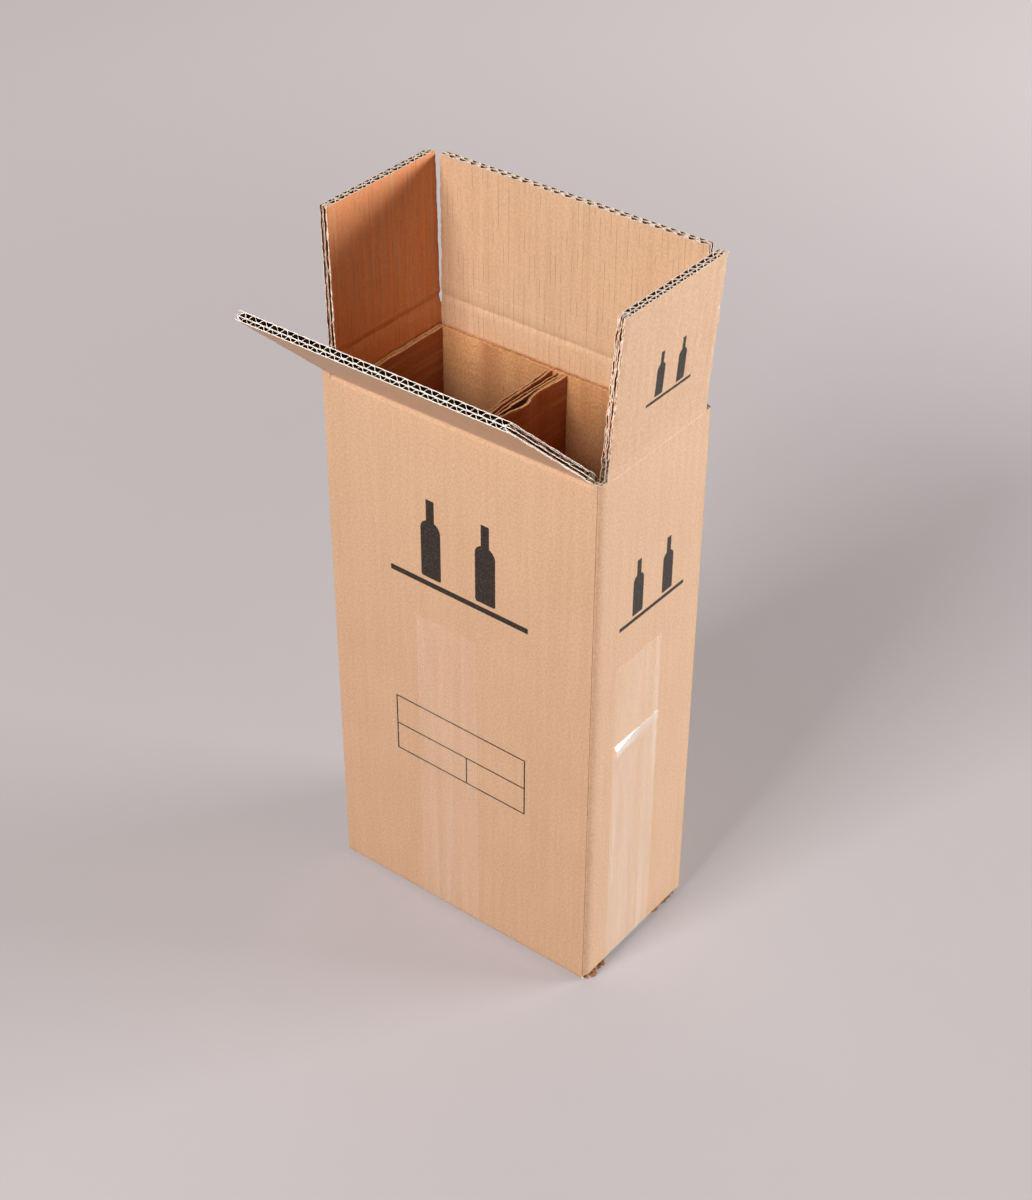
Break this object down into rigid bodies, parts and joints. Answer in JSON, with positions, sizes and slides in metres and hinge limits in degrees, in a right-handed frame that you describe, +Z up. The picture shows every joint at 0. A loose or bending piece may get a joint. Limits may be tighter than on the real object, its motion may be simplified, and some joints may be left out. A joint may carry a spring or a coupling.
{
  "type": "bottle shipping box",
  "caption": "Tall open carton of double-wall corrugated board for shipping bottles, with top flaps, a folded divider insert and clear tape round its bottom.",
  "frame": {"origin": "centre of the base, on the surface it stands on", "axes": "+Z up out of the open top, +Y from the front wall to the back wall, +X along the long side to the right as seen from the front"},
  "size_m": [0.2256, 0.1956, 0.5204],
  "materials": {
    "double_wall_board": "matte brown kraft liner, faint vertical flute lines",
    "single_wall_board": "matte brown kraft liner",
    "clear_film": "clear glossy packing tape"
  },
  "bodies": {
    "carton": {"carton_body": "double_wall_board", "bottle_insert": "single_wall_board", "side_tape": "clear_film", "cover_tape": "clear_film", "front_tape": "clear_film"},
    "front_flap": {"front_flap": "double_wall_board"},
    "back_flap": {"back_flap": "double_wall_board"},
    "left_flap": {"left_flap": "double_wall_board"},
    "right_flap": {"right_flap": "double_wall_board"}
  },
  "joints": [
    {"name": "front_flap_crease", "type": "hinge", "parent": "carton", "child": "front_flap", "pos_m": [0, -0.0572, 0.4096], "axis": [1, 0, 0], "range_deg": [-137, 88]},
    {"name": "back_flap_crease", "type": "hinge", "parent": "carton", "child": "back_flap", "pos_m": [0, 0.0572, 0.423], "axis": [-1, 0, 0], "range_deg": [-90.1, 134.9]},
    {"name": "left_flap_crease", "type": "hinge", "parent": "carton", "child": "left_flap", "pos_m": [-0.1072, 0, 0.4163], "axis": [0, -1, 0], "range_deg": [-90.9, 134.1]},
    {"name": "right_flap_crease", "type": "hinge", "parent": "carton", "child": "right_flap", "pos_m": [0.1072, 0, 0.4163], "axis": [0, 1, 0], "range_deg": [-94.4, 130.6]}
  ]
}
